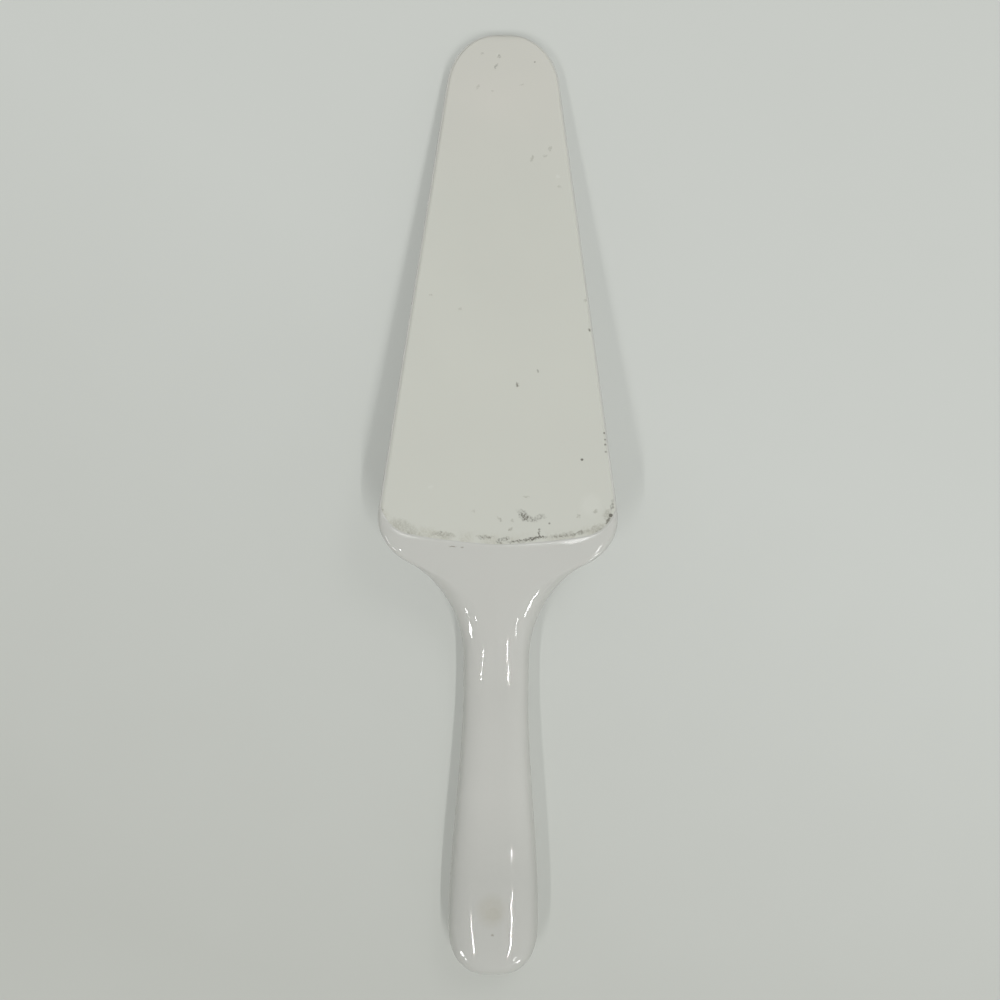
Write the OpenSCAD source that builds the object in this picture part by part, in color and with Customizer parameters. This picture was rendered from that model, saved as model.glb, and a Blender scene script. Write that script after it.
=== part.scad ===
// Porcelain cake server, lying face down with its unglazed underside up.
// The long axis runs along Y with the tip toward +Y, X is the width and Z is up.
// The origin is under the middle of the length, on the surface that the server lies on.

/* [Overall] */
// Length from the tip of the blade to the end of the handle
total_l = 254; // [236:1:272]
// Thickness of the glaze coat
coat_t = 0.3; // [0.2:0.05:0.5]

/* [Blade] */
// Distance from the tip back to the widest part, where the shoulders begin to turn
shoulder_l = 131.5; // [127:0.5:136]
// Width of the blade at the shoulders
blade_w = 62.6; // [54:0.2:70]
// Width that the straight sides would have at the tip
tip_w = 26.7; // [22:0.1:32]
// Length of the rounded tip
tip_l = 14.5; // [11:0.5:20]
// Thickness at the tip
tip_t = 4; // [3.5:0.1:5.5]
// Thickness at the shoulders
base_t = 5; // [4.4:0.1:6.5]
// Angle between the underside and the surface that the server lies on
blade_tilt = 9.3; // [7:0.1:11]
// Radius of the edge round the underside
edge_r = 1; // [0.6:0.1:1.4]
// Width of the rounding along the edge of the food side
food_edge_w = 3; // [2:0.1:5]

/* [Glaze line] */
// How far the middle of the glaze line lies behind the widest part
line_gap = 6.5; // [4:0.5:9]
// How far the middle of the glaze line lies behind its sides
line_bow = 3.4; // [0:0.1:5]
// How far the glaze line climbs round each shoulder
corner_bow = 6.4; // [3:0.1:8]

/* [Neck] */
// Length of the neck, from the glaze line back to where the handle is slimmest
neck_l = 40; // [34:1:46]
// Radius of each shoulder, seen from above
shoulder_r = 12; // [9:0.5:15]
// Radius of each hollow side of the neck, seen from above
neck_r = 31; // [27:0.5:36]

/* [Handle] */
// Width where the handle is slimmest
grip_w = 17.6; // [15:0.2:21]
// Thickness where the handle is slimmest
grip_t = 13; // [11:0.2:15]
// Greatest width near the end of the handle
end_w = 24.1; // [21:0.1:28]
// Thickness near the end of the handle
end_t = 15.5; // [14:0.1:18]
// Length of the rounded end
end_l = 14.5; // [12:0.5:18]
// Length over which the end thins out in height
end_drop_l = 9; // [6:0.5:11]

/* [Hollow of the handle] */
// Thickness of the cast wall under the glaze
wall_t = 3; // [2.4:0.1:4]
// Solid stretch between the front of the hollow and the neck
hollow_gap = 2; // [1:1:24]
// Diameter of the filled casting hole
vent_d = 7; // [5:0.2:9]
// Distance from the end of the handle to the filled hole
vent_y = 17; // [15:0.5:24]
// How far the filled hole sits off the centre line
vent_x = -0.6; // [-1.5:0.1:1.5]
// Radial play between the hole and its filling
vent_play = 0.05; // [0.02:0.01:0.2]

/* [Hidden] */

// Pure numbers of the rounded forms: 2 is an ellipse, more is squarer
tip_power = 2.4;
end_power = 2.5;
drop_power = 2.2;
grip_power = 2.6;
edge_power = 2;
line_power = 1.4;
corner_power = 12;
ease_power = 1.4;

// Where the edge line lies between the two faces, as shares of the thickness
grip_edge_share = 0.48;
shoulder_edge_share = 0.25;
// Flat part of the width, as shares of it: underside and food side of the handle, and the tip
grip_flat_share = 0.14;
food_flat_share = 0.3;
tip_flat_share = 0.6;
// Places along the neck where its sections change, as shares of its length
droop_start_share = 0.15;
droop_end_share = 0.6;
edge_start_share = 0.7;
flat_start_share = 0.3;
// Slope with which the neck's underside leaves the glaze line, and its food side the blade
ridge_slope = 0.4;
riser_slope = 0.55;
// Food side of the neck reaches past the glaze line by this share of the neck's length
riser_lead_share = 0.1;
// How far the food side keeps to a straight riser where the glaze line curves
straight_riser_share = 0.5;
// Reach of the glaze line's curve along the blade, as a share of the blade's length
bow_fade_share = 0.3;
// The corners of the glaze line fade out over this share of the neck's length
corner_fade_share = 0.4;
// Closing length of the hollow's front, as a share of the hollow's length
hollow_close_share = 0.2;

// Counts of the mesh
round_n = 6;
flat_n = 10;
end_n = 9;
handle_n = 7;
neck_n = 14;
blade_n = 14;
hollow_n = 8;

// Places along the length, measured from the end of the handle
blade_l = shoulder_l + line_gap;
line_y = total_l - blade_l;
shoulder_y = total_l - shoulder_l;
grip_l = line_y - neck_l;
hollow_l = grip_l - hollow_gap;
tip_foot = tip_t / 2;
riser_y = line_y + riser_lead_share * neck_l;
blade_slope = tan(blade_tilt);

// Sides of the blade: straight lines that widen toward the shoulders
side_slope = (blade_w - tip_w) / 2 / shoulder_l;
function side_line(y) = blade_w / 2 - (y - shoulder_y) * side_slope;

// Each shoulder is an arc that touches the side and the hollow arc of the neck
shoulder_x = side_line(shoulder_y) - shoulder_r * sqrt(1 + side_slope * side_slope);
neck_x = grip_w / 2 + neck_r;
neck_y = shoulder_y - sqrt(pow(neck_r + shoulder_r, 2) - pow(neck_x - shoulder_x, 2));
join_y = neck_y + (shoulder_y - neck_y) * neck_r / (neck_r + shoulder_r);
side_y = shoulder_y + shoulder_r * sin(atan(side_slope));

function clamp(t) = max(0, min(1, t));
function smooth(t) = let(u = clamp(t)) u * u * (3 - 2 * u);
function mix(a, b, t) = a + (b - a) * t;
function curve(t, a, b, slope_a, slope_b, l) =
    let(u = clamp(t), s = smooth(u))
    mix(a, b, s) + l * slope_a * u * (1 - u) * (1 - u) - l * slope_b * u * u * (1 - u);
function bulge(t, power) = pow(max(0, 1 - pow(1 - clamp(t), power)), 1 / power);

// Half of the handle's width, without the rounded end
function grip_half(y) = mix(end_w, grip_w, smooth((y - end_l) / (grip_l - end_l))) / 2;

// Half of the glazed width at a distance y from the end of the handle
function half_w(y) =
    y < neck_y ? grip_half(y)
    : y < join_y ? neck_x - sqrt(neck_r * neck_r - pow(y - neck_y, 2))
    : y < side_y ? shoulder_x + sqrt(shoulder_r * shoulder_r - pow(y - shoulder_y, 2))
    : side_line(y);

// A coat or a wall moves the two ends of the outline inward by its thickness
function inward(y, c) =
    y < end_l ? c + y * (end_l - c) / end_l
    : y > total_l - tip_l ? total_l - c - (total_l - y) * (tip_l - c) / tip_l
    : y;
function end_share(y) =
    y < end_l ? bulge(y / end_l, end_power)
    : y > total_l - tip_l ? bulge((total_l - y) / tip_l, tip_power)
    : 1;
function drop_share(y, c) =
    let(back = (inward(y, c) - c) / (end_drop_l - c))
    let(front = (total_l - c - inward(y, c)) / (tip_foot - c))
    y < end_l ? bulge(back, drop_power)
    : y > total_l - tip_l ? bulge(front, drop_power)
    : 1;

// The glaze line's curve fades out along the blade and along the neck, its corners sooner
bow_fade_l = bow_fade_share * blade_l;
corner_start = mix(line_y, grip_l, corner_fade_share);
function bow_share(y, from) =
    y > line_y ? 1 - smooth((y - line_y) / bow_fade_l)
    : smooth((y - from) / (line_y - from));
function corner_share(y) =
    y > line_y ? bow_share(y, grip_l)
    : pow(clamp((y - corner_start) / (line_y - corner_start)), 2);
function bow(y, u) =
    line_bow * bow_share(y, grip_l) * pow(abs(u), line_power)
    + corner_bow * corner_share(y) * pow(abs(u), corner_power);

// Height of the underside and of the food side along the middle
function under_plane(y) = tip_t + (total_l - tip_foot - y) * blade_slope;
function blade_t(y) = mix(tip_t, base_t, (total_l - tip_foot - y) / blade_l);
function handle_t(y) = mix(end_t, grip_t, clamp((y - end_l) / (grip_l - end_l)));
handle_slope = (grip_t - end_t) / (grip_l - end_l);
line_z = under_plane(line_y);
riser_z = under_plane(riser_y) - blade_t(riser_y);
function under_z(y) =
    y >= line_y ? under_plane(y)
    : y <= grip_l ? handle_t(y) - coat_t
    : curve((y - grip_l) / neck_l, grip_t - coat_t, line_z, handle_slope, ridge_slope, neck_l);
function food_z(y) =
    let(l = riser_y - grip_l)
    y >= riser_y ? under_plane(y) - blade_t(y)
    : curve((y - grip_l) / l, 0, riser_z, 0, riser_slope, l);

// Height of the widest line and widths of the flat parts
function edge_share(y) =
    let(s = (y - grip_l) / neck_l, bare = 1 - edge_r / blade_t(y))
    let(droop = (s - droop_start_share) / (droop_end_share - droop_start_share))
    let(rise = (s - edge_start_share) / (1 - edge_start_share))
    mix(mix(grip_edge_share, shoulder_edge_share, smooth(droop)), bare, smooth(rise));
function flattening(y) =
    smooth(((y - grip_l) / neck_l - flat_start_share) / (1 - flat_start_share));
function flat_share(y, w, r, grip_share) =
    mix(grip_share, max(tip_flat_share, 1 - r / max(w, r)), flattening(y));

// Offsets along one side of a section: 0 at the edge, 1 at the start of the flat part
side_steps = [for (i = [0:round_n]) i * 90 / round_n];
flat_steps = [for (i = [1:flat_n - 1]) sin(90 * (2 * i / flat_n - 1))];

// One face of a section, from the left edge to the right edge, as [share of width, share of height]
function face_points(f, power) =
    let(side = [for (t = side_steps) [f + (1 - f) * pow(cos(t), 2 / power), pow(sin(t), 2 / power)]])
    concat(
        [for (p = side) [-p[0], p[1]]],
        [for (t = flat_steps) [f * t, 1]],
        [for (i = [round_n:-1:0]) side[i]]);

// A closed section at y, moved inward by c, with bare = 1 where the underside has no coat
function section(y, c, bare = 0, shrink = 1) =
    let(ends = y + bow(y, 1), full = half_w(ends))
    let(w = max(0, (full - c) * end_share(y)) * shrink)
    let(top_c = bare == 1 ? 0 : coat_t - c, v = drop_share(y, c) * shrink)
    let(wide = full * end_share(y), power = mix(grip_power, edge_power, flattening(y)))
    let(upper = face_points(flat_share(y, wide, edge_r, grip_flat_share), power))
    let(lower = face_points(flat_share(y, wide, food_edge_w, food_flat_share), power))
    let(last = len(lower) - 2)
    concat(
        [for (p = upper) point(y, c, w, p[0], v * p[1], top_c, 0)],
        [for (i = [last:-1:1]) point(y, c, w, lower[i][0], 0, 0, v * lower[i][1])]);

// A point at u along the width, raised toward the underside or lowered toward the food side
function point(y, c, w, u, up, top_c, down) =
    let(back = bow(y, u), top = under_z(y) - back * blade_slope)
    let(low = mix(food_z(y) - back * blade_slope, food_z(y + back), straight_riser_share))
    let(edge = mix(low, top, edge_share(y)))
    [w * u + 0, inward(y, c) + back - total_l / 2,
        edge + (top + top_c - edge) * up + (low + c - edge) * down];

// Stations along the handle, the neck and the blade
function end_station(i, l, power) = l * (1 - pow(cos(i * 90 / end_n), 2 / power));
function span(a, b, n) = [for (i = [1:n]) mix(a, b, i / n)];
// Steps that lie closer together toward a
function eased_span(a, b, n) = [for (i = [1:n]) mix(a, b, pow(i / n, ease_power))];
handle_ys = concat([for (i = [0:end_n]) end_station(i, end_l, end_power)],
    span(end_l, grip_l, handle_n));
neck_steps = eased_span(line_y, grip_l, neck_n);
neck_ys = concat([for (i = [neck_n - 1:-1:0]) neck_steps[i]], [line_y]);
blade_ys = concat([line_y], eased_span(line_y, total_l - tip_l, blade_n),
    [for (i = [end_n - 1:-1:0]) total_l - end_station(i, tip_l, tip_power)]);
hollow_ys = concat([for (i = [0:end_n]) end_station(i, end_l, end_power)],
    span(end_l, hollow_l, hollow_n));

// Numbers of points in a section and of the two corners where the bare face ends
ring_n = 2 * (2 * round_n + flat_n);
left_j = round_n;
right_j = round_n + flat_n;

// Faces of a tube of sections that starts at point number k, outside or inside
function tube_faces(rows, k, j0, j1, inside = false) =
    [for (i = [0:rows - 2], j = [j0:j1 - 1])
        let(a = k + i * ring_n + j % ring_n, b = k + i * ring_n + (j + 1) % ring_n)
        let(c = b + ring_n, d = a + ring_n)
        each inside ? [[a, c, d], [a, b, c]] : [[a, d, c], [a, c, b]]];
// Ring-shaped end of a coat between outer row a and inner row b
function rim_faces(a, b, j0, j1, far = false) =
    [for (j = [j0:j1 - 1])
        let(m = j % ring_n, n = (j + 1) % ring_n)
        each far ? [[b + m, a + n, a + m], [b + m, b + n, a + n]]
        : [[b + m, a + m, a + n], [b + m, a + n, b + n]]];
// Closed end of a solid: a fan round the point number m
function fan_faces(a, m, far = false) =
    [for (j = [0:ring_n - 1])
        let(n = (j + 1) % ring_n)
        far ? [m, a + n, a + j] : [m, a + j, a + n]];
// Narrow faces along the edge of a coat, between outer and inner points number j
function lip_faces(rows, k, j, right) =
    [for (i = [0:rows - 2])
        let(o = i * ring_n + j, n = k + i * ring_n + j)
        let(o2 = o + ring_n, n2 = n + ring_n)
        each right ? [[n, n2, o2], [n, o2, o]] : [[o, o2, n2], [o, n2, n]]];

function middle(ring) = [0, ring[left_j + flat_n / 2][1],
    (ring[left_j + flat_n / 2][2] + ring[ring_n - left_j - flat_n / 2][2]) / 2];

// A solid through sections, with a flat fan at each open end
module solid(rings) {
    rows = len(rings);
    points = concat([for (r = rings) each r], [middle(rings[0]), middle(rings[rows - 1])]);
    polyhedron(points, concat(
        tube_faces(rows, 0, 0, ring_n),
        fan_faces(0, rows * ring_n),
        fan_faces((rows - 1) * ring_n, rows * ring_n + 1, true)));
}

// A coat all round between outer and inner sections, open at its ends
module sleeve(outer, inner) {
    rows = len(outer);
    k = rows * ring_n;
    polyhedron([for (r = concat(outer, inner)) each r], concat(
        tube_faces(rows, 0, 0, ring_n),
        tube_faces(rows, k, 0, ring_n, true),
        rim_faces(0, k, 0, ring_n),
        rim_faces(k - ring_n, 2 * k - ring_n, 0, ring_n, true)));
}

// A coat that leaves the underside bare and closes at the tip
module tray(outer, inner) {
    rows = len(outer);
    k = rows * ring_n;
    polyhedron([for (r = concat(outer, inner)) each r], concat(
        tube_faces(rows, 0, right_j, ring_n + left_j),
        tube_faces(rows, k, right_j, ring_n + left_j, true),
        rim_faces(0, k, right_j, ring_n + left_j),
        lip_faces(rows, k, right_j, true),
        lip_faces(rows, k, left_j, false)));
}

function rings(ys, c, bare = 0) = [for (y = ys) section(y, c, bare)];

// The hollow follows the outside of the handle at the depth of the wall
hollow_c = coat_t + wall_t;
function hollow_shrink(y) =
    let(close = hollow_close_share * hollow_l)
    let(t = clamp((y - hollow_l + close) / close))
    sqrt(1 - t * t);

// The filled hole runs from the hollow to the underside of the glaze
vent_top = handle_t(vent_y) - coat_t;
vent_low = vent_top - wall_t;

module vent(d, from, to) {
    translate([vent_x, vent_y - total_l / 2, from]) cylinder(d = d, h = to - from, $fn = 48);
}

// Bare blade of fired porcelain, ground flat underneath
module blade_body() {
    color([0.86, 0.86, 0.81]) solid(rings(blade_ys, coat_t, 1));
}

// Neck between the blade and the handle
module neck_body() {
    color([0.9, 0.9, 0.87]) solid(rings(neck_ys, coat_t));
}

// Hollow cast handle with its casting hole
module handle_body() {
    color([0.9, 0.9, 0.87]) difference() {
        solid(rings(handle_ys, coat_t));
        solid([for (y = hollow_ys) section(y, hollow_c, 0, hollow_shrink(y))]);
        vent(vent_d, vent_low - wall_t / 2, vent_top + wall_t);
    }
}

// Filling of the casting hole, under the glaze
module vent_plug() {
    color([0.84, 0.8, 0.76]) intersection() {
        vent(vent_d - 2 * vent_play, vent_low, vent_top + wall_t);
        solid(rings(handle_ys, coat_t));
    }
}

module blade_glaze() {
    color([0.93, 0.93, 0.91]) tray(rings(blade_ys, 0, 1), rings(blade_ys, coat_t, 1));
}

module neck_glaze() {
    color([0.93, 0.93, 0.91]) sleeve(rings(neck_ys, 0), rings(neck_ys, coat_t));
}

module handle_glaze() {
    color([0.93, 0.93, 0.91]) sleeve(rings(handle_ys, 0), rings(handle_ys, coat_t));
}

blade_body();
neck_body();
handle_body();
vent_plug();
blade_glaze();
neck_glaze();
handle_glaze();
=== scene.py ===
# Porcelain cake server, lying face down with its bare underside up
import math
from types import SimpleNamespace
import bmesh
import bpy
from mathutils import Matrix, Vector


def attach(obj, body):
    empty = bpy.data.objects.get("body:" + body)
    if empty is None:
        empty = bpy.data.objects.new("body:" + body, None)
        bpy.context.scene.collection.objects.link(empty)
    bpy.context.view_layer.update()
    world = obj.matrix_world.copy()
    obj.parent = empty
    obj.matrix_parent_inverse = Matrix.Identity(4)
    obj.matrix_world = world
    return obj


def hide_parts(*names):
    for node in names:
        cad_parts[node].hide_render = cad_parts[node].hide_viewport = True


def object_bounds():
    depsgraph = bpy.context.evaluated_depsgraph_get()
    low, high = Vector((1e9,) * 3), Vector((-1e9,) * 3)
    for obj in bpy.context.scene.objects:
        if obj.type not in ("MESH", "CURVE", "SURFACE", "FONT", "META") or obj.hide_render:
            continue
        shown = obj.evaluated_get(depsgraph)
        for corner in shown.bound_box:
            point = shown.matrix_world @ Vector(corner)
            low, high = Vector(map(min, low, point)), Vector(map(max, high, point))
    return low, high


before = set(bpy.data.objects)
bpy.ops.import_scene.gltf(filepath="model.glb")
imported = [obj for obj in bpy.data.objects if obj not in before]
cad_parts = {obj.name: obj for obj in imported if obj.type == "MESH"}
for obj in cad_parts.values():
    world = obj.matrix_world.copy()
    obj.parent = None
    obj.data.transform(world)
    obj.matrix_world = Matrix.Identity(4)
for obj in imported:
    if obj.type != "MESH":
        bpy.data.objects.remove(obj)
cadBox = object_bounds()
mm = 0.001
print("frame loaded")


# A socket that Python's operators work on, in shader and geometry trees alike
class Wire:
    def __init__(self, tree, socket=None):
        self.tree = tree
        self.socket = socket

    # Any node: its settings are set first, then the values or links of its sockets
    def node(self, kind, settings=None, sockets=None):
        made = self.tree.nodes.new(kind)
        for name, value in (settings or {}).items():
            setattr(made, name, value)
        for name, value in (sockets or {}).items():
            if isinstance(value, Wire):
                self.tree.links.new(value.socket, made.inputs[name])
            else:
                made.inputs[name].default_value = value
        return made

    def out(self, made, name=0):
        return Wire(self.tree, made.outputs[name])

    def math(self, operation, *values):
        sockets = dict(enumerate(values))
        return self.out(self.node("ShaderNodeMath", {"operation": operation}, sockets))

    def __add__(self, other):
        return self.math("ADD", self, other)

    def __sub__(self, other):
        return self.math("SUBTRACT", self, other)

    def __mul__(self, other):
        return self.math("MULTIPLY", self, other)

    def __truediv__(self, other):
        return self.math("DIVIDE", self, other)

    def __pow__(self, other):
        return self.math("POWER", self, other)

    def __neg__(self):
        return self.math("MULTIPLY", self, -1)

    def __rsub__(self, other):
        return self.math("SUBTRACT", other, self)

    def __rtruediv__(self, other):
        return self.math("DIVIDE", other, self)

    __radd__ = __add__
    __rmul__ = __mul__


# Math on any mix of sockets and numbers
def call(operation, *values):
    wire = next(value for value in values if isinstance(value, Wire))
    return wire.math(operation, *values)


def root(value):
    return call("SQRT", call("MAXIMUM", value, 0))


def lift(value, power):
    return call("MAXIMUM", value, 0) ** power


def clamp(value):
    return call("MINIMUM", call("MAXIMUM", value, 0), 1)


def smooth(value):
    t = clamp(value)
    return t * t * (3 - 2 * t)


def mix(a, b, share):
    return a + (b - a) * share


# Rounded rise from 0 to 1, as steep at its foot as the power makes it
def bulge(value, power):
    return call("MAXIMUM", 1 - (1 - clamp(value)) ** power, 0) ** (1 / power)


# A curve from height a to height b over the length l, leaving and arriving with a slope
def curve(value, a, b, slopeA, slopeB, l):
    t = clamp(value)
    rest = 1 - t
    return mix(a, b, smooth(t)) + l * slopeA * t * rest * rest - l * slopeB * t * t * rest


# Form of the server: lengths in millimetres, places measured from the end of the handle
serverForm = {
    "length": 254,
    "coat": 0.3,
    "shoulderLength": 131.5,
    "lineGap": 6.5,
    "neckLength": 40,
    "bladeWidth": 62.6,
    "tipWidth": 26.7,
    "tipLength": 14.5,
    "tipThickness": 4,
    "baseThickness": 5,
    "bladeTilt": math.radians(9.3),
    "edgeRadius": 1,
    "foodEdge": 3,
    "lineBow": 3.4,
    "cornerBow": 6.4,
    "shoulderRadius": 12,
    "neckRadius": 31,
    "gripWidth": 17.6,
    "gripThickness": 13,
    "endWidth": 24.1,
    "endThickness": 15.5,
    "endLength": 14.5,
    "endDrop": 9,
}
# Shares, slopes and powers of the same form, then the filled hole's place and the dimple over it
formShares = {
    "gripEdge": 0.48,
    "shoulderEdge": 0.25,
    "gripFlat": 0.14,
    "foodFlat": 0.3,
    "tipFlat": 0.6,
    "droopStart": 0.15,
    "droopEnd": 0.6,
    "edgeStart": 0.7,
    "flatStart": 0.3,
    "ridgeSlope": 0.4,
    "riserSlope": 0.55,
    "riserLead": 0.1,
    "straightRiser": 0.5,
    "bowFade": 0.3,
    "cornerFade": 0.4,
    "tipPower": 2.4,
    "endPower": 2.5,
    "dropPower": 2.2,
    "gripPower": 2.6,
    "edgePower": 2,
    "linePower": 1.4,
    "cornerPower": 12,
    "holeX": -0.6,
    "holeY": 17,
    "dimpleRadius": 4.8,
    "dimpleDepth": 0.14,
}
# Rows of the mesh along the end, the handle, the neck, the blade and the tip, and points round it
meshRows = {"end": 22, "handle": 60, "neck": 70, "blade": 70, "tip": 22}
meshRing = {"arc": 18, "flat": 28}
# How evenly the rows are spread, and how much closer they lie toward the neck and the glaze line
rowSpread = {"handleEven": 0.65, "handleFine": 1.5, "neckEven": 0.2, "bladeFine": 1.6}
lineRound = 0.7  # length over which the glaze thins out to the bare underside


# Place along the length of a row of the mesh
def station(s, row):
    place = 0
    steps = []
    for count in meshRows.values():
        steps.append(clamp((row - place) / count))
        place += count
    quarter = math.pi / 2
    even, neckEven = rowSpread["handleEven"], rowSpread["neckEven"]
    handle = steps[1] * steps[1] * (1 - even) + steps[1] * even
    handle = 1 - (1 - handle) ** rowSpread["handleFine"]
    neck = smooth(steps[2]) * (1 - neckEven) + steps[2] * neckEven
    return (s.endLength * (1 - call("COSINE", quarter * steps[0]) ** (2 / s.endPower))
            + (s.gripLength - s.endLength) * handle
            + (s.lineY - s.gripLength) * neck
            + (s.length - s.tipLength - s.lineY) * steps[3] ** rowSpread["bladeFine"]
            + s.tipLength * call("COSINE", quarter * (1 - steps[4])) ** (2 / s.tipPower))


# Values that follow from the driving sizes
def derive(s):
    s.bladeLength = s.shoulderLength + s.lineGap
    s.lineY = s.length - s.bladeLength
    s.gripLength = s.lineY - s.neckLength
    s.shoulderY = s.length - s.shoulderLength
    s.tipStart = s.length - s.tipLength
    s.tipFoot = s.tipThickness / 2
    s.riserY = s.lineY + s.riserLead * s.neckLength
    s.slope = call("TANGENT", s.bladeTilt)
    s.sideSlope = (s.bladeWidth - s.tipWidth) / 2 / s.shoulderLength
    s.shoulderX = s.bladeWidth / 2 - s.shoulderRadius * root(1 + s.sideSlope * s.sideSlope)
    s.neckX = s.gripWidth / 2 + s.neckRadius
    both = s.neckRadius + s.shoulderRadius
    s.neckY = s.shoulderY - root(both ** 2 - (s.neckX - s.shoulderX) ** 2)
    s.joinY = s.neckY + (s.shoulderY - s.neckY) * s.neckRadius / both
    s.sideY = s.shoulderY + s.shoulderRadius * s.sideSlope / root(1 + s.sideSlope * s.sideSlope)
    s.cornerStart = mix(s.lineY, s.gripLength, s.cornerFade)
    s.handleSlope = (s.gripThickness - s.endThickness) / (s.gripLength - s.endLength)
    s.bodyEnd = s.gripThickness - s.coat


# One value below a limit, another above it
def pick(y, limit, below, above):
    return mix(above, below, call("LESS_THAN", y, limit))


# Half the width of the outline: handle, hollow of the neck, shoulder and side of the blade
def halfWidth(s, y):
    handle = mix(s.endWidth, s.gripWidth, smooth((y - s.endLength) / (s.gripLength - s.endLength))) / 2
    hollow = s.neckX - root(s.neckRadius ** 2 - (y - s.neckY) ** 2)
    shoulder = s.shoulderX + root(s.shoulderRadius ** 2 - (y - s.shoulderY) ** 2)
    side = s.bladeWidth / 2 - (y - s.shoulderY) * s.sideSlope
    return pick(y, s.neckY, handle, pick(y, s.joinY, hollow, pick(y, s.sideY, shoulder, side)))


# The same place on a skin that lies c deeper, drawn in at both ends
def inward(s, y, c):
    back = c + y * (s.endLength - c) / s.endLength
    front = s.length - c - (s.length - y) * (s.tipLength - c) / s.tipLength
    return pick(y, s.endLength, back, pick(y, s.tipStart, y, front))


# How the width closes at both ends
def endShare(s, y):
    return bulge(y / s.endLength, s.endPower) * bulge((s.length - y) / s.tipLength, s.tipPower)


# How the height closes at both ends
def dropShare(s, y, c):
    place = inward(s, y, c)
    back = bulge((place - c) / (s.endDrop - c), s.dropPower)
    front = bulge((s.length - c - place) / (s.tipFoot - c), s.dropPower)
    return back * front


# How far a place bows toward the tip, as the glaze line does, at the share u of the half width
def bowAt(s, y, u):
    ahead = 1 - smooth((y - s.lineY) / (s.bowFade * s.bladeLength))
    behind = smooth((y - s.gripLength) / s.neckLength)
    corner = clamp((y - s.cornerStart) / (s.lineY - s.cornerStart)) ** 2
    wide = call("ABSOLUTE", u)
    soft = pick(y, s.lineY, behind, ahead) * s.lineBow * wide ** s.linePower
    return soft + pick(y, s.lineY, corner, ahead) * s.cornerBow * wide ** s.cornerPower


# Height of the bare underside, which faces up here
def underPlane(s, y):
    return s.tipThickness + (s.length - s.tipFoot - y) * s.slope


def bladeThickness(s, y):
    return mix(s.tipThickness, s.baseThickness, (s.length - s.tipFoot - y) / s.bladeLength)


# Height of the upper side, under the coat
def underHeight(s, y):
    t = (y - s.gripLength) / s.neckLength
    handle = mix(s.endThickness, s.gripThickness,
                 clamp((y - s.endLength) / (s.gripLength - s.endLength))) - s.coat
    neck = curve(t, s.bodyEnd, underPlane(s, s.lineY), s.handleSlope, s.ridgeSlope, s.neckLength)
    return pick(y, s.gripLength, handle, pick(y, s.lineY, neck, underPlane(s, y)))


# Height of the food side, which faces down here
def foodHeight(s, y):
    l = s.riserY - s.gripLength
    top = underPlane(s, s.riserY) - bladeThickness(s, s.riserY)
    riser = curve((y - s.gripLength) / l, 0, top, 0, s.riserSlope, l)
    return pick(y, s.riserY, riser, underPlane(s, y) - bladeThickness(s, y))


# Where the widest line lies between the lower and the upper side
def edgeShare(s, y):
    t = (y - s.gripLength) / s.neckLength
    bare = 1 - s.edgeRadius / bladeThickness(s, y)
    droop = smooth((t - s.droopStart) / (s.droopEnd - s.droopStart))
    rise = smooth((t - s.edgeStart) / (1 - s.edgeStart))
    return mix(mix(s.gripEdge, s.shoulderEdge, droop), bare, rise)


def flattening(s, y):
    return smooth(((y - s.gripLength) / s.neckLength - s.flatStart) / (1 - s.flatStart))


# Share of the width that is flat
def flatShare(s, y, width, radius, grip):
    wide = call("MAXIMUM", s.tipFlat, 1 - radius / call("MAXIMUM", width, radius))
    return mix(grip, wide, flattening(s, y))


# Point of a section: turn runs from 0 at the left edge over the upper face to 1, and back below to 2
def sectionPoint(s, row, turn, c, pull):
    y = station(s, row)
    turn = call("MODULO", turn, 2)
    isLower = call("GREATER_THAN", turn, 1)
    across = mix(turn, 2 - turn, isLower)
    arc = meshRing["arc"] / (2 * meshRing["arc"] + meshRing["flat"])
    quarter = math.pi / 2
    rise = quarter * clamp(across / arc)
    fall = quarter * clamp((1 - across) / arc)
    level = call("SINE", quarter * (2 * clamp((across - arc) / (1 - 2 * arc)) - 1))
    rim = y * 0 + 1  # the full half width, as a socket
    full = halfWidth(s, y + bowAt(s, y, rim))
    ends = endShare(s, y)
    radius = mix(s.edgeRadius, s.foodEdge, isLower)
    flat = flatShare(s, y, full * ends, radius, mix(s.gripFlat, s.foodFlat, isLower))
    power = 2 / mix(s.gripPower, s.edgePower, flattening(s, y))
    side = lift(call("COSINE", fall), power) - lift(call("COSINE", rise), power)
    u = flat * level + (1 - flat) * side
    up = lift(call("SINE", rise), power) * lift(call("SINE", fall), power) * dropShare(s, y, c)
    width = call("MAXIMUM", (full - c) * ends, 0)
    back = bowAt(s, y, u)
    top = underHeight(s, y) - back * s.slope
    low = mix(foodHeight(s, y) - back * s.slope, foodHeight(s, y + back), s.straightRiser)
    edge = mix(low, top, edgeShare(s, y))
    thin = clamp((s.lineY - y) / lineRound)
    skin = (s.coat - c) * root(1 - (1 - thin) ** 2)
    height = edge + mix(top + skin - edge, low + c - edge, isLower) * up
    x = width * u
    along = inward(s, y, c)
    reach = root((x - s.holeX) * (x - s.holeX) + (along - s.holeY) * (along - s.holeY))
    sunk = s.dimpleDepth * smooth(1 - reach / s.dimpleRadius) * (1 - c / s.coat) * (1 - isLower)
    middle = mix(foodHeight(s, y), underHeight(s, y), 0.5)
    z = mix(height, middle, pull) - sunk
    return x * (1 - pull), along + back * (1 - pull) - s.length / 2, z


def addInput(group, name, kind, value):
    socket = group.interface.new_socket(name=name, in_out="INPUT", socket_type=kind)
    if value is not None:
        socket.default_value = value
    return socket


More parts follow.
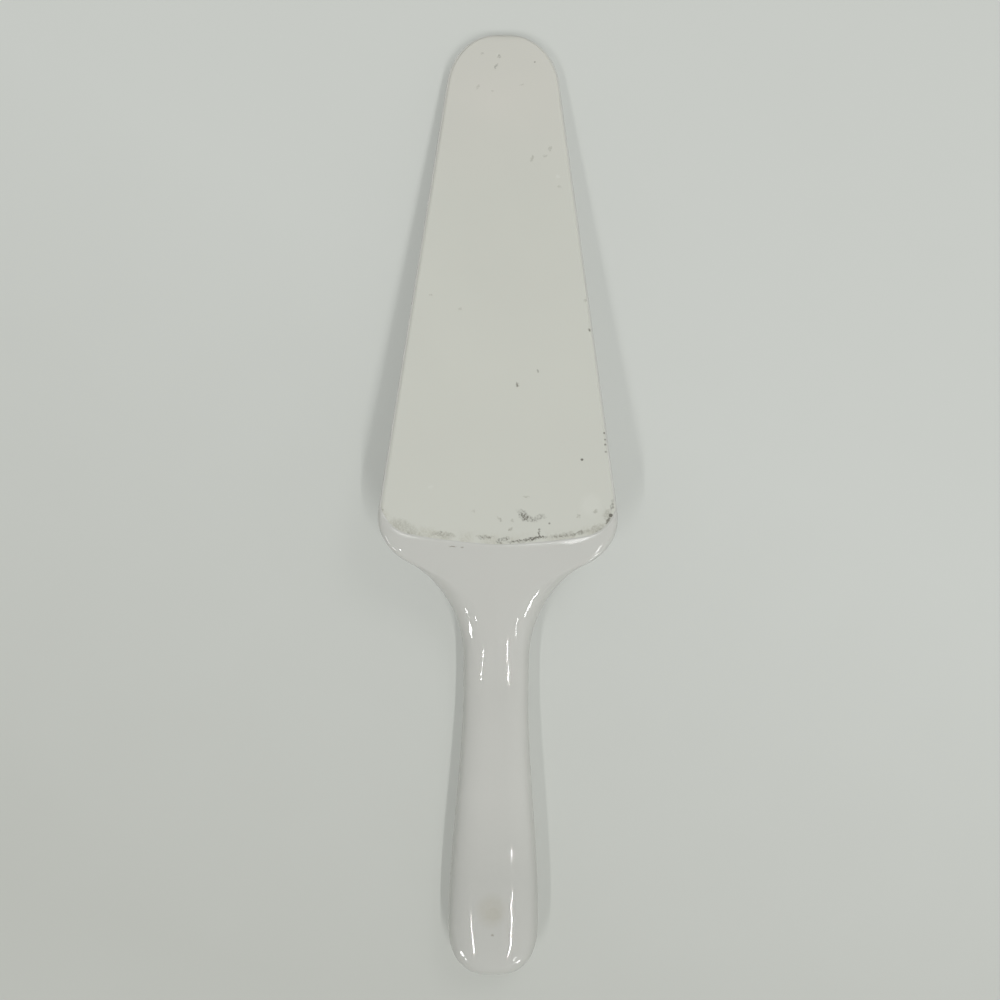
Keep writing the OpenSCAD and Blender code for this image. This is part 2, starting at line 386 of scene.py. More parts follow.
# Node group that bends a grid into one skin of the server, between two rows, turns and depths
def makeSkinGroup():
    group = bpy.data.node_groups.new("serverSkin", "GeometryNodeTree")
    ends = {"row0": 0, "row1": 1, "turn0": 0, "turn1": 2, "depth": 0, "depthAlong": 0,
            "depthRound": 0, "pullAlong": 0}
    counts = {"rows": 2, "columns": 2}
    for name, value in counts.items():
        addInput(group, name, "NodeSocketInt", value)
    for name, value in (ends | serverForm | formShares).items():
        addInput(group, name, "NodeSocketFloat", value)
    group.interface.new_socket(name="Geometry", in_out="OUTPUT", socket_type="NodeSocketGeometry")
    start = Wire(group)
    inputs = start.node("NodeGroupInput")
    s = SimpleNamespace()
    for name in ends | serverForm | formShares:
        setattr(s, name, start.out(inputs, name))
    derive(s)
    grid = start.node("GeometryNodeMeshGrid", None, {
        "Size X": 1, "Size Y": 1,
        "Vertices X": start.out(inputs, "rows"), "Vertices Y": start.out(inputs, "columns")})
    place = start.node("ShaderNodeSeparateXYZ", None,
                       {"Vector": start.out(start.node("GeometryNodeInputPosition"))})
    along = start.out(place, "X") + 0.5
    across = start.out(place, "Y") + 0.5
    depth = s.depth + s.depthAlong * along + s.depthRound * across
    x, y, z = sectionPoint(s, mix(s.row0, s.row1, along), mix(s.turn0, s.turn1, across),
                           depth, s.pullAlong * along)
    point = start.node("ShaderNodeCombineXYZ", None, {"X": x * mm, "Y": y * mm, "Z": z * mm})
    moved = start.node("GeometryNodeSetPosition", None,
                       {"Geometry": start.out(grid, "Mesh"), "Position": start.out(point)})
    start.node("NodeGroupOutput", None, {"Geometry": start.out(moved)})
    return group


skinGroup = makeSkinGroup()
print("form tree built,", len(skinGroup.nodes), "nodes")


# Rows where the end, the handle, the neck, the blade and the tip stop, and the steps of one turn
rowStop = {part: sum(list(meshRows.values())[:i + 1]) for i, part in enumerate(meshRows)}
turnSteps = 2 * meshRing["arc"] + meshRing["flat"]
arcShare = meshRing["arc"] / turnSteps
coat = serverForm["coat"]
wholeTurn = (0, 2)
mergeReach = 0.000002
dissolveReach = mergeReach / 4
sharpAngle = math.radians(50)
bareEdge = 0.6  # share of the edge's rounding that is bare as the underside is
coatTurn = (1 - arcShare * (1 - bareEdge), 2 + arcShare * (1 - bareEdge))


# Values of one skin: its counts of points, its rows and turns, and its depth
def skin(rows, turns, depth=0, **changes):
    columns = max(2, round((turns[1] - turns[0]) * turnSteps) + 1)
    counts = {"rows": max(2, rows[1] - rows[0] + 1), "columns": columns}
    ends = {"row0": rows[0], "row1": rows[1], "turn0": turns[0], "turn1": turns[1], "depth": depth}
    return counts | ends | changes


# Closed coat between two rows: outside, inside and the rims that join them
def coatSkins(rows, turns, rims):
    skins = [skin(rows, turns), skin(rows, turns, coat)]
    skins += [skin((row, row), turns, depthAlong=coat) for row in rims]
    if turns != wholeTurn:
        skins += [skin(rows, (turn, turn), depthRound=coat) for turn in turns]
    return skins


# Mesh of a piece from its skins, with a modifier whose tree has the sizes as named inputs
def formPiece(name, skins, material):
    tree = bpy.data.node_groups.new(name + "Form", "GeometryNodeTree")
    sizes = serverForm | formShares
    for size, value in sizes.items():
        addInput(tree, size, "NodeSocketFloat", value)
    addInput(tree, "finish", "NodeSocketMaterial", None)
    tree.interface.new_socket(name="Geometry", in_out="OUTPUT", socket_type="NodeSocketGeometry")
    start = Wire(tree)
    inputs = start.node("NodeGroupInput")
    shared = {size: start.out(inputs, size) for size in sizes}
    joined = start.node("GeometryNodeJoinGeometry")
    for values in skins:
        made = start.node("GeometryNodeGroup", {"node_tree": skinGroup}, shared | values)
        tree.links.new(made.outputs["Geometry"], joined.inputs["Geometry"])
    merged = start.node("GeometryNodeMergeByDistance", None,
                        {"Geometry": start.out(joined), "Distance": mergeReach})
    real = start.node("GeometryNodeRealizeInstances", None, {"Geometry": start.out(merged)})
    finished = start.node("GeometryNodeSetMaterial", None,
                          {"Geometry": start.out(real), "Material": start.out(inputs, "finish")})
    start.node("NodeGroupOutput", None, {"Geometry": start.out(finished)})
    piece = bpy.data.objects.new(name, bpy.data.meshes.new(name))
    bpy.context.scene.collection.objects.link(piece)
    modifier = piece.modifiers.new("form", "NODES")
    modifier.node_group = tree
    values = sizes | {"finish": material}
    for item in tree.interface.items_tree:
        if item.in_out == "INPUT":
            modifier[item.identifier] = values[item.name]
    return settle(piece, material)


# Plain closed mesh out of the modifier, with its faces outward and its rims sharp
def settle(piece, material):
    evaluated = piece.evaluated_get(bpy.context.evaluated_depsgraph_get())
    mesh = bpy.data.meshes.new_from_object(evaluated)
    piece.modifiers.clear()
    shell = bmesh.new()
    shell.from_mesh(mesh)
    bmesh.ops.dissolve_degenerate(shell, dist=dissolveReach, edges=shell.edges)
    bmesh.ops.recalc_face_normals(shell, faces=shell.faces)
    for face in shell.faces:
        face.smooth = True
    for edge in shell.edges:
        sharp = len(edge.link_faces) == 2 and edge.calc_face_angle() > sharpAngle
        edge.smooth = not sharp
    openEdges = sum(1 for edge in shell.edges if len(edge.link_faces) != 2)
    shell.to_mesh(mesh)
    shell.free()
    mesh.name = piece.name
    mesh.materials.clear()
    mesh.materials.append(material)
    piece.data = mesh
    print(piece.name, len(mesh.polygons), "faces,", openEdges, "open edges")
    return piece


# Camera straight above, as far off as the perspective of the shoulders shows, in millimetres
# and degrees
camera = {
    "height": 450,  # above the surface that the server lies on
    "view": 273.7,  # width of the view at that surface
    "x": 0.5,
    "y": 0.44,
    "roll": 0.68,
    "sensor": 36,
    "pixels": 1000,
}


def makeCamera():
    data = bpy.data.cameras.new("photoCamera")
    data.sensor_width = camera["sensor"]
    data.lens = camera["sensor"] * camera["height"] / camera["view"]
    made = bpy.data.objects.new("photoCamera", data)
    made.location = (camera["x"] * mm, camera["y"] * mm, camera["height"] * mm)
    made.rotation_euler = (0, 0, math.radians(camera["roll"]))
    bpy.context.scene.collection.objects.link(made)
    bpy.context.scene.camera = made


# Place on the server, in millimetres, of a pixel of the photograph at a height above the surface
def photoPlace(px, py, height):
    scale = camera["view"] / camera["pixels"] * (1 - height / camera["height"])
    right = (px - camera["pixels"] / 2) * scale
    up = (camera["pixels"] / 2 - py) * scale
    turn = math.radians(camera["roll"])
    x = camera["x"] + right * math.cos(turn) - up * math.sin(turn)
    y = camera["y"] + right * math.sin(turn) + up * math.cos(turn)
    return x, y


makeCamera()


def newMaterial(name):
    material = bpy.data.materials.new(name)
    material.use_nodes = True
    material.node_tree.nodes.clear()
    return material, Wire(material.node_tree)


def objectPlace(start):
    return start.out(start.node("ShaderNodeTexCoord"), "Object")


def noise(start, place, size, detail=2, rough=0.5, name="Fac"):
    made = start.node("ShaderNodeTexNoise", None, {
        "Vector": place, "Scale": 1 / (size * mm), "Detail": detail, "Roughness": rough})
    return start.out(made, name)


# Mix node for colours, which may be sockets or plain values
def blend(start, share, a, b):
    made = start.node("ShaderNodeMix", {"data_type": "RGBA"}, {"Factor": share})
    for socket, value in ((made.inputs[6], a), (made.inputs[7], b)):
        if isinstance(value, Wire):
            start.tree.links.new(value.socket, socket)
        else:
            socket.default_value = (*value, 1)
    return Wire(start.tree, made.outputs[2])


def finishMaterial(start, color, roughness, normal, settings):
    sockets = {"Base Color": color, "Roughness": roughness, "Normal": normal} | settings
    shader = start.node("ShaderNodeBsdfPrincipled", None, sockets)
    output = start.node("ShaderNodeOutputMaterial")
    start.tree.links.new(shader.outputs["BSDF"], output.inputs["Surface"])


# Bump whose depth is in millimetres
def bump(start, height, distance, strength=1, normal=None):
    sockets = {"Height": height, "Distance": distance * mm, "Strength": strength}
    if normal:
        sockets["Normal"] = normal
    return start.out(start.node("ShaderNodeBump", None, sockets), "Normal")


def vector(start, operation, *values):
    made = start.node("ShaderNodeVectorMath", {"operation": operation}, dict(enumerate(values)))
    return start.out(made, "Value" if operation == "LENGTH" else "Vector")


# Height in millimetres of the upper side along the server, for placing what lies on it
def upperHeight(y):
    s = serverForm
    tip = s["length"] / 2 - s["tipThickness"] / 2
    line = s["length"] / 2 - s["shoulderLength"] - s["lineGap"]
    grip = line - s["neckLength"]
    if y > line:
        return s["tipThickness"] + (tip - y) * math.tan(s["bladeTilt"])
    ridge = s["tipThickness"] + (tip - line) * math.tan(s["bladeTilt"])
    share = min(1, max(0, (line - y) / s["neckLength"]))
    neck = ridge + (s["gripThickness"] - ridge) * share * share * (3 - 2 * share)
    return neck + (s["endThickness"] - s["gripThickness"]) * max(0, grip - y) / (grip + s["length"] / 2)


# Place of a mark, found in a few rounds because its height shifts it in the picture
def markPlace(px, py):
    x, y = photoPlace(px, py, 0)
    for step in range(3):
        x, y = photoPlace(px, py, upperHeight(y))
    return x, y


# Plan of the object's places, frayed a little so that no mark has a drawn edge
def planPlace(start, place, fray, size):
    shift = vector(start, "SUBTRACT", noise(start, place, size, 3, 0.6, "Color"), (0.5, 0.5, 0.5))
    moved = vector(start, "MULTIPLY_ADD", shift, (fray * mm, fray * mm, 0), place)
    return vector(start, "MULTIPLY", moved, (1, 1, 0))


# One mark: where it is in the photograph, its half length and half width, its turn and its strength.
# It is full to half way out and then fades
def spot(start, plan, mark):
    (px, py), (along, across), turn, strength = mark
    x, y = markPlace(px, py)
    local = start.out(start.node("ShaderNodeMapping", {"vector_type": "TEXTURE"}, {
        "Vector": plan, "Location": (x * mm, y * mm, 0), "Rotation": (0, 0, math.radians(turn)),
        "Scale": (along * mm, across * mm, mm)}), "Vector")
    return clamp(2 - 2 * vector(start, "LENGTH", local)) * strength


def spots(start, plan, marks):
    total = None
    for mark in marks.values():
        mask = spot(start, plan, mark)
        total = mask if total is None else call("MAXIMUM", total, mask)
    return total


# Bare fired porcelain: matt, slightly warm, with a fine ground grain. Sizes, places along the
# server and depths are in millimetres
bisque = {
    "low": (0.556, 0.565, 0.507),
    "middle": (0.577, 0.585, 0.526),
    "tip": (0.602, 0.588, 0.534),
    "dark": (0.542, 0.547, 0.495),
    "grain": 0.35,
    "cloud": 22,
    "roughness": 0.72,
    "grainDepth": 0.012,
    "stain": (0.15, 0.145, 0.12),
    "rub": (0.33, 0.325, 0.275),
    "grime": (0.4, 0.385, 0.315),
    "grimeReach": 3.2,
    "polish": (0.62, 0.63, 0.58),
    "nickDepth": 0.05,
    "fray": 1.8,
    "fraySize": 0.9,
    "breakSize": 0.5,  # patches in which the traces are broken up, where that starts and how sharply
    "breakStart": 0.42,
    "breakSharp": 8,
    "patchSize": 4.5,
    "patchStart": 0.4,
    "patchSharp": 4,
    "stainLeft": 0.2,  # shares of the traces that stay between the patches
    "rubLeft": 0.4,
    "grimeLeft": 0.3,
    "grimeGain": 0.5,
    "middleStart": -5,
    "middleReach": 50,
    "tipStart": 80,
    "tipReach": 30,
    "cloudShare": 0.7,
    "polishShare": 0.6,
    "polishFlat": 0.7,
    "grainRough": 0.1,  # what the grain, the polished places and the metal change in the roughness
    "polishSmooth": 0.15,
    "stainSmooth": 0.25,
    "ior": 1.45,
}
# Grey traces of metal, darkest by the glaze line
stains = {
    "smudge": ((524.5, 516.5), (2.1, 1.3), -32, 0.95),
    "smudgeTail": ((531, 519.5), (2.0, 0.8), -20, 0.75),
    "smudgeTop": ((521.5, 511.5), (1.6, 0.6), -10, 0.5),
    "smudgeRight": ((539.5, 517.5), (2.0, 0.9), 10, 0.5),
    "lineMiddle": ((536, 538.4), (3.4, 0.5), 8, 1.3),
    "lineLeft": ((521, 541.2), (4.0, 0.45), 5, 0.9),
    "lineFar": ((503, 539.4), (2.2, 0.5), 12, 0.75),
    "lineTick": ((539.6, 533.6), (1.5, 0.36), 88, 1.0),
    "lineUnder": ((499.4, 542.6), (1.0, 0.35), -10, 0.6),
    "lineNear": ((486, 537.4), (2.4, 0.4), 0, 0.5),
    "lineRight": ((562, 536), (4.0, 0.45), 6, 0.45),
    "lineFarRight": ((579, 532.6), (2.2, 0.5), 14, 0.5),
    "cornerBend": ((607.4, 522.4), (2.4, 0.55), 58, 0.85),
    "cornerLow": ((600, 530.5), (2.0, 0.45), 34, 0.4),
    "cornerTop": ((612, 505.5), (1.9, 0.5), 80, 0.6),
    "tipTick": ((499.3, 56.3), (0.65, 0.35), 80, 0.5),
    "tipNick": ((496, 66.4), (1.1, 0.32), 55, 0.45),
    "tipLeft": ((482, 53.3), (0.55, 0.4), 20, 0.42),
    "sideDash": ((608.4, 450.6), (0.85, 0.36), 84, 0.6),
    "leftSpeck": ((441, 532), (0.4, 0.35), 0, 0.5),
    "leftSpeckTwo": ((409, 534), (0.5, 0.4), 0, 0.45),
}
# Small clear-cut specks
dots = {
    "cornerSpot": ((610.8, 515.4), (0.62, 0.56), 0, 1.9),
    "edgeDot": ((582, 459.6), (0.46, 0.4), 0, 1.1),
    "sideDot": ((604.4, 433), (0.42, 0.36), 0, 0.8),
    "sideDotTwo": ((605.2, 439.6), (0.36, 0.3), 0, 0.7),
    "sideDotThree": ((605.4, 444.6), (0.42, 0.34), 0, 0.75),
    "sideDotFour": ((605.9, 451.8), (0.4, 0.34), 0, 0.6),
    "upDash": ((589.4, 330), (0.6, 0.28), 110, 0.8),
    "tipDot": ((534.8, 62), (0.36, 0.3), 60, 0.55),
    "lineDot": ((549.4, 523.4), (0.36, 0.32), 0, 0.7),
    "cornerDot": ((613, 507.5), (0.4, 0.34), 0, 0.6),
    "middleDash": ((517, 384.6), (0.85, 0.3), 100, 0.62),
    "middleSide": ((537.8, 370.6), (0.5, 0.28), 120, 0.5),
}
# Paler rubs and small nicks
rubs = {
    "lineFaint": ((484.5, 536.6), (2.6, 0.5), 0, 0.6),
    "lineMid": ((566, 534.6), (5.0, 0.6), 6, 0.6),
    "lineEnd": ((583, 532), (3.0, 0.6), 14, 0.6),
    "cornerLow": ((597, 528), (2.6, 1.1), 30, 0.6),
    "cornerHalo": ((607.5, 515), (1.5, 1.8), 0, 0.6),
    "leftCloud": ((404, 528), (5.0, 2.3), -28, 0.5),
    "leftLine": ((443, 534.6), (4.0, 0.8), -4, 0.7),
    "leftLow": ((416, 536), (3.2, 1.0), -20, 0.6),
    "leftEdge": ((380, 510), (1.2, 0.5), -10, 0.6),
    "farDot": ((472.8, 510.7), (0.5, 0.4), 0, 0.6),
    "nearDash": ((499.4, 518.5), (1.0, 0.36), -40, 0.6),
    "lowDot": ((510.6, 529.4), (0.7, 0.4), 50, 0.8),
    "midDot": ((512.6, 520.6), (0.6, 0.5), 0, 0.5),
    "highDash": ((526, 496.3), (0.9, 0.4), 0, 0.5),
    "patchDot": ((595.5, 511.5), (0.8, 0.6), 40, 0.6),
    "patchLeft": ((578.6, 515.7), (0.5, 0.4), 0, 0.6),
    "upRight": ((590, 330), (0.6, 0.4), 0, 0.6),
    "upRightTwo": ((586, 300), (0.6, 0.4), 30, 0.55),
    "middleDot": ((517, 385), (0.7, 0.5), 0, 0.8),
    "middleTwo": ((538, 372), (0.5, 0.4), 0, 0.6),
    "leftDots": ((431, 295), (0.6, 0.4), 0, 0.5),
    "leftDotTwo": ((412, 290), (0.6, 0.4), 20, 0.5),
    "leftDotThree": ((407, 320), (0.5, 0.4), 0, 0.5),
    "centreDot": ((460, 309), (0.6, 0.4), 0, 0.5),
    "tipMark": ((477.6, 86.8), (0.9, 0.4), 60, 0.4),
    "tipMarkTwo": ((493, 91), (0.5, 0.35), 0, 0.5),
    "tipMarkThree": ((521.6, 84.8), (0.7, 0.35), 0, 0.35),
    "sideNick": ((531.6, 158.5), (1.2, 0.45), 60, 0.5),
    "sideNickTwo": ((545.2, 155.6), (1.0, 0.4), 0, 0.45),
    "sideNickThree": ((550, 148.6), (1.0, 0.4), 70, 0.45),
    "sideNickFour": ((559.3, 186.3), (0.6, 0.4), -40, 0.5),
}
# Smoother, lighter places
polished = {
    "roundPatch": ((591, 505), (3.3, 3.5), 0, 0.45),
    "leftPatch": ((430.5, 486.6), (0.8, 0.6), 0, 0.6),
    "tipPatch": ((558, 176.7), (0.6, 0.5), 0, 0.9),
    "tipPatchTwo": ((497.5, 54), (0.5, 0.4), 80, 0.8),
}


# How far a place lies beyond the glaze line toward the tip, in millimetres
def pastLine(x, y):
    s = serverForm
    across = call("ABSOLUTE", x) / (s["bladeWidth"] / 2 * mm)
    bow = s["lineBow"] * across ** formShares["linePower"]
    bow = bow + s["cornerBow"] * across ** formShares["cornerPower"]
    return y / mm - (s["length"] / 2 - s["shoulderLength"] - s["lineGap"]) - bow


def makeBisque():
    material, start = newMaterial("bisque")
    place = objectPlace(start)
    grain = noise(start, place, bisque["grain"], 3, 0.6)
    cloud = noise(start, place, bisque["cloud"], 2)
    plan = planPlace(start, place, bisque["fray"], bisque["fraySize"])
    sides = start.node("ShaderNodeSeparateXYZ", None, {"Vector": plan})
    x, y = start.out(sides, "X"), start.out(sides, "Y")
    broken = clamp((noise(start, place, bisque["breakSize"], 2, 0.6) - bisque["breakStart"])
                   * bisque["breakSharp"])
    speckled = spots(start, vector(start, "MULTIPLY", place, (1, 1, 0)), dots)
    stained = spots(start, plan, stains) * mix(bisque["stainLeft"], 1, broken)
    stain = clamp(call("MAXIMUM", stained, speckled))
    rub = spots(start, plan, rubs) * mix(bisque["rubLeft"], 1, broken)
    patchy = clamp((noise(start, place, bisque["patchSize"], 3, 0.6) - bisque["patchStart"])
                   * bisque["patchSharp"])
    gap = pastLine(x, y)
    grime = clamp(1 - gap / bisque["grimeReach"]) * patchy
    grime = grime * (broken * bisque["grimeGain"] + bisque["grimeLeft"])
    polish = spots(start, plan, polished)
    towardMiddle = clamp((y - bisque["middleStart"] * mm) / (bisque["middleReach"] * mm))
    towardTip = clamp((y - bisque["tipStart"] * mm) / (bisque["tipReach"] * mm))
    color = blend(start, towardMiddle, bisque["low"], bisque["middle"])
    color = blend(start, towardTip, color, bisque["tip"])
    color = blend(start, clamp(mix(grain, cloud, bisque["cloudShare"])), bisque["dark"], color)
    color = blend(start, polish * bisque["polishShare"], color, bisque["polish"])
    color = blend(start, grime, color, bisque["grime"])
    color = blend(start, rub, color, bisque["rub"])
    color = blend(start, stain, color, bisque["stain"])
    roughness = (grain - 0.5) * bisque["grainRough"] + bisque["roughness"]
    roughness = roughness - polish * bisque["polishSmooth"] - stain * bisque["stainSmooth"]
    grained = bump(start, grain * (1 - polish * bisque["polishFlat"]), bisque["grainDepth"])
    normal = bump(start, -rub, bisque["nickDepth"], 1, grained)
    finishMaterial(start, color, roughness, normal, {"IOR": bisque["ior"]})
    return material


# Clear gloss glaze over white porcelain, less glossy where it thins out at its line, with painted shade
# toward the neck and the handle's end
glaze = {
    "color": (0.521, 0.522, 0.49),
    # darker glaze colour, for its random clouding and for the painted shade toward the neck and the
    # handle's end
    "cloudAndPaintedShade": (0.474, 0.476, 0.446),
    "cloud": 30,
    "roughness": 0.028,
    "lineMatt": 0.3,
    "lineReach": 1.6,
    "waves": 9,
    "waveDepth": 0.24,
    "ripples": 3.2,
    "rippleDepth": 0.05,
    "pits": 1.4,
    "pitDepth": 0.004,
    "plug": (0.425, 0.414, 0.362),
    "speck": (0.24, 0.22, 0.18),
    "upperFrom": 8,  # height above which a place is on the side that shows
    # where the painted shade darkens the glaze toward the neck and toward the handle's end
    "neckStart": -60,
    "neckReach": 28,
    "neckShare": 0.12,
    "endStart": -78,
    "endReach": 22,
    "toneShare": 0.9,
    "cloudMiddle": 0.4,
    "cloudShare": 0.3,
    "cloudRough": 0.01,
    "fray": 1.2,
    "fraySize": 1.2,
    "mottle": 0.9,  # how the filling is mottled, by how much, and its least strength
    "mottleGain": 0.8,
    "mottleLeast": 0.5,
    "ior": 1.38,
}
# Under the glaze: the beige filling of the casting hole; in it: specks of iron, and grey dashes
filling = {
    "hole": ((491.2, 910.5), (4.6, 5.2), 0, 0.6),
    "core": ((492.5, 914), (3.2, 2.8), 0, 0.85),
}
specks = {
    "endSpeck": ((492.8, 934.5), (0.42, 0.4), 0, 0.6),
    "dash": ((452.8, 546.6), (1.15, 0.24), -6, 0.8),
    "dashTwo": ((462.3, 547.4), (0.6, 0.22), -8, 0.55),
}


def makeGlaze():
    material, start = newMaterial("glaze")
    place = objectPlace(start)
    cloud = noise(start, place, glaze["cloud"], 2)
    sides = start.node("ShaderNodeSeparateXYZ", None, {"Vector": place})
    x, y = start.out(sides, "X"), start.out(sides, "Y")
    nearLine = clamp(1 - call("ABSOLUTE", pastLine(x, y)) / glaze["lineReach"])
    upper = call("GREATER_THAN", start.out(sides, "Z"), glaze["upperFrom"] * mm)
    towardNeck = clamp((y - glaze["neckStart"] * mm) / (glaze["neckReach"] * mm))
    towardEnd = clamp((glaze["endStart"] * mm - y) / (glaze["endReach"] * mm))
    # Painted shade: the glaze is darker toward the neck and toward the handle's end
    paintedShade = call("MAXIMUM", towardNeck * glaze["neckShare"], towardEnd)
    clouded = (cloud - glaze["cloudMiddle"]) * glaze["cloudShare"]
    color = blend(start, clamp(paintedShade * glaze["toneShare"] + clouded), glaze["color"], glaze["cloudAndPaintedShade"])
    plan = planPlace(start, place, glaze["fray"], glaze["fraySize"])
    mottled = noise(start, place, glaze["mottle"], 3, 0.6) * glaze["mottleGain"] + glaze["mottleLeast"]
    color = blend(start, clamp(spots(start, plan, filling) * mottled) * upper, color, glaze["plug"])
    color = blend(start, spots(start, plan, specks) * upper, color, glaze["speck"])
    waves = noise(start, place, glaze["waves"], 1)
    pits = noise(start, place, glaze["pits"], 2)
    roughness = cloud * glaze["cloudRough"] + glaze["roughness"] + nearLine * glaze["lineMatt"]
    ripples = noise(start, place, glaze["ripples"], 1)
    normal = bump(start, waves, glaze["waveDepth"])
    normal = bump(start, ripples, glaze["rippleDepth"], 1, normal)
    normal = bump(start, pits, glaze["pitDepth"], 1, normal)
    finishMaterial(start, color, roughness, normal, {"IOR": glaze["ior"]})
    return material


# Raw porcelain and filling slip, inside the glaze
inner = {"roughness": 0.75, "grainRough": 0.1, "grainDepth": 0.02, "ior": 1.45}


def makeInner(name, light, dark, grainSize):
    material, start = newMaterial(name)
    grain = noise(start, objectPlace(start), grainSize, 4, 0.6)
    color = blend(start, grain, dark, light)
    roughness = grain * inner["grainRough"] + inner["roughness"]
    normal = bump(start, grain, inner["grainDepth"])
    finishMaterial(start, color, roughness, normal, {"IOR": inner["ior"]})
    return material


bisqueFinish = makeBisque()
glazeFinish = makeGlaze()
rawFinish = makeInner("rawPorcelain", (0.6, 0.6, 0.56), (0.55, 0.55, 0.51), 0.5)
fillerFinish = makeInner("fillerSlip", (0.56, 0.5, 0.45), (0.5, 0.45, 0.41), 0.4)
print("materials made")

grip, line, tip = rowStop["handle"], rowStop["neck"], rowStop["tip"]
pieces = {
    "handle_coat": formPiece("handle_coat", coatSkins((0, grip), wholeTurn, [grip]), glazeFinish),
    "neck_coat": formPiece("neck_coat", coatSkins((grip, line), wholeTurn, [grip, line]), glazeFinish),
    "blade_coat": formPiece("blade_coat", coatSkins((line, tip), coatTurn, [line]), glazeFinish),
    "blade_plate": formPiece("blade_plate", [
        skin((line, tip), wholeTurn, coat),
        skin((line, line), wholeTurn, coat, pullAlong=1)], bisqueFinish),
}
for name, node, slot in (("handle_coat", "handle_glaze", "glaze"), ("neck_coat", "neck_glaze", "glaze"),
                         ("blade_coat", "blade_glaze", "glaze"), ("blade_plate", "blade_body", "bisque")):
    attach(pieces[name], "root")
    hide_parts(node)
for node, material in (("neck_body", rawFinish), ("handle_body", rawFinish), ("vent_plug", fillerFinish)):
    for slot in bpy.data.objects[node].material_slots:
        slot.material = material
print("pieces made")

# Pale floor under the server, with painted shade that darkens it toward the handle's end and the left
floor = {
    "size": 12,
    "color": (0.585, 0.604, 0.572),
    # colour of the painted shade toward the handle's end and the left
    "dark": (0.49, 0.502, 0.466),
    "middle": 0.195,
    "along": 3.93,
    "across": 2.25,
    "bend": 9,
    "glow": 0.45,  # share of its own colour that the camera sees in the shadows too
    "below": 0.01,  # millimetres under the server
    "mottle": 25,
    "mottleShare": 0.12,
    "mottleRough": 0.1,
    "roughness": 0.85,
    "gloss": 0.1,
}


def makeFloor():
    mesh = bpy.data.meshes.new("floor")
    half = floor["size"] / 2
    level = cadBox[0][2] - floor["below"] * mm
    corners = [(-half, -half, level), (half, -half, level), (half, half, level), (-half, half, level)]
    mesh.from_pydata(corners, [], [(0, 1, 2, 3)])
    made = bpy.data.objects.new("floor", mesh)
    bpy.context.scene.collection.objects.link(made)
    material, start = newMaterial("floorPaint")
    place = objectPlace(start)
    sides = start.node("ShaderNodeSeparateXYZ", None, {"Vector": place})
    x, y = start.out(sides, "X"), start.out(sides, "Y")
    near = call("MINIMUM", y, 0)
    # Painted shade: the floor darkens toward the handle's end and the left, as falling-off light would make
    # it
    paintedFloorShade = clamp(floor["middle"] - y * floor["along"] - x * floor["across"] + near * near * floor["bend"])
    mottle = noise(start, place, floor["mottle"], 3)
    mottled = paintedFloorShade + (mottle - 0.5) * floor["mottleShare"]
    color = blend(start, clamp(mottled), floor["color"], floor["dark"])
    paint = start.node("ShaderNodeBsdfPrincipled", None, {
        "Base Color": color, "Roughness": mottle * floor["mottleRough"] + floor["roughness"],
        "Specular IOR Level": floor["gloss"]})
    own = start.node("ShaderNodeEmission", None, {"Color": color})
    paths = start.node("ShaderNodeLightPath")
    seen = call("MAXIMUM", start.out(paths, "Is Camera Ray"),
                call("MAXIMUM", start.out(paths, "Is Glossy Ray"), start.out(paths, "Is Transmission Ray")))
    both = start.node("ShaderNodeMixShader", None, {0: seen * floor["glow"]})
    start.tree.links.new(paint.outputs[0], both.inputs[1])
    start.tree.links.new(own.outputs[0], both.inputs[2])
    output = start.node("ShaderNodeOutputMaterial")
    start.tree.links.new(both.outputs[0], output.inputs["Surface"])
    mesh.materials.append(material)


makeFloor()

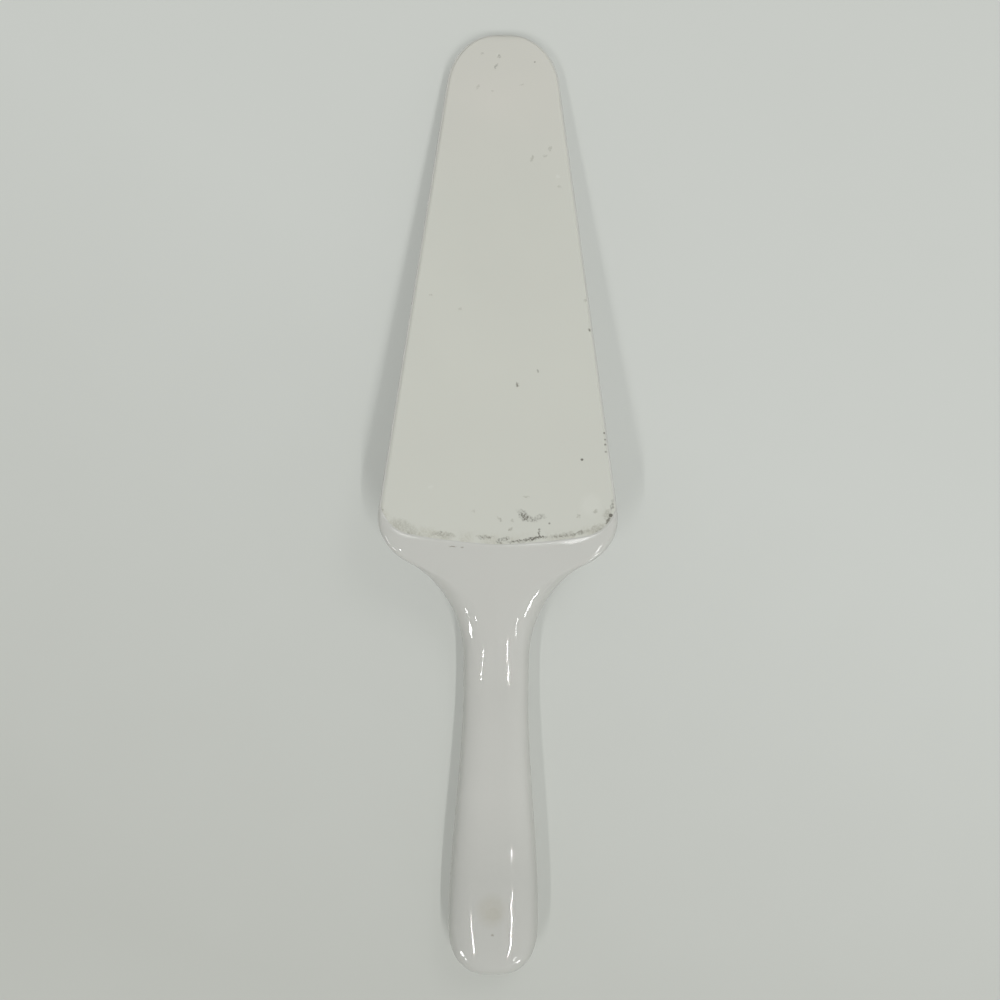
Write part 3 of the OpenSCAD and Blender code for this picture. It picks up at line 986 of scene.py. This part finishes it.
# Two long ceiling tubes toward the handle's end, and a soft lamp beyond the right of the tip. Each
# has its place, its size across and along in metres, and its power in watts. The square ones aim
# at the server and the long ones face down
lamps = {
    "tubeRight": ((0.7, -1.48, 2.6), (0.03, 1.96), 47.6),
    "tubeLeft": ((-0.97, -1.37, 2.6), (0.03, 1.58), 29.4),
    "softbox": ((0.4, 0.5, 0.9), (0.35, 0.35), 1.5),
}
# Lamps farther off, some of them low, that only gleam in the glaze and don't light the surfaces
gleams = {
    "midRight": ((1.97, -3.35, 2.2), (0.22, 1.2), 22),
    "midLeft": ((-1.65, -3.4, 2.2), (0.12, 0.12), 2),
    "lowRight": ((1.45, -2.6, 0.26), (0.25, 0.25), 8),
    "lowLeft": ((-1.8, -2.4, 0.5), (0.25, 0.25), 6),
    "endRight": ((1.65, -2.49, 0.4), (0.28, 0.28), 10),
    "endLeft": ((-1.95, -1.72, 0.55), (0.45, 0.45), 22),
}
# Light of the room overhead, what it gains toward the walls, the right and the far side, its colour
room = {"overhead": 0.03, "walls": 0.82, "right": 0.08, "far": 0.22, "color": (0.985, 1.0, 0.985)}


def makeLamps():
    for name, (place, size, power) in (lamps | gleams).items():
        data = bpy.data.lights.new(name, "AREA")
        data.shape = "RECTANGLE"
        data.size = size[0]
        data.size_y = size[1]
        data.energy = power
        made = bpy.data.objects.new(name, data)
        made.location = place
        made.visible_diffuse = name in lamps
        if size[0] == size[1]:
            made.rotation_euler = Vector(place).to_track_quat("Z", "Y").to_euler()
        bpy.context.scene.collection.objects.link(made)
    world = bpy.data.worlds.new("room")
    bpy.context.scene.world = world
    world.use_nodes = True
    world.node_tree.nodes.clear()
    start = Wire(world.node_tree)
    sides = start.node("ShaderNodeSeparateXYZ", None, {
        "Vector": start.out(start.node("ShaderNodeTexCoord"), "Generated")})
    up = clamp(start.out(sides, "Z"))
    strength = room["overhead"] + room["walls"] * (1 - up)
    strength = strength + room["right"] * start.out(sides, "X") + room["far"] * start.out(sides, "Y")
    shade = start.node("ShaderNodeBackground", None, {
        "Color": (*room["color"], 1), "Strength": strength})
    output = start.node("ShaderNodeOutputWorld")
    start.tree.links.new(shade.outputs[0], output.inputs["Surface"])


makeLamps()
bpy.context.scene.view_settings.view_transform = "Standard"
print("floor and lamps made")
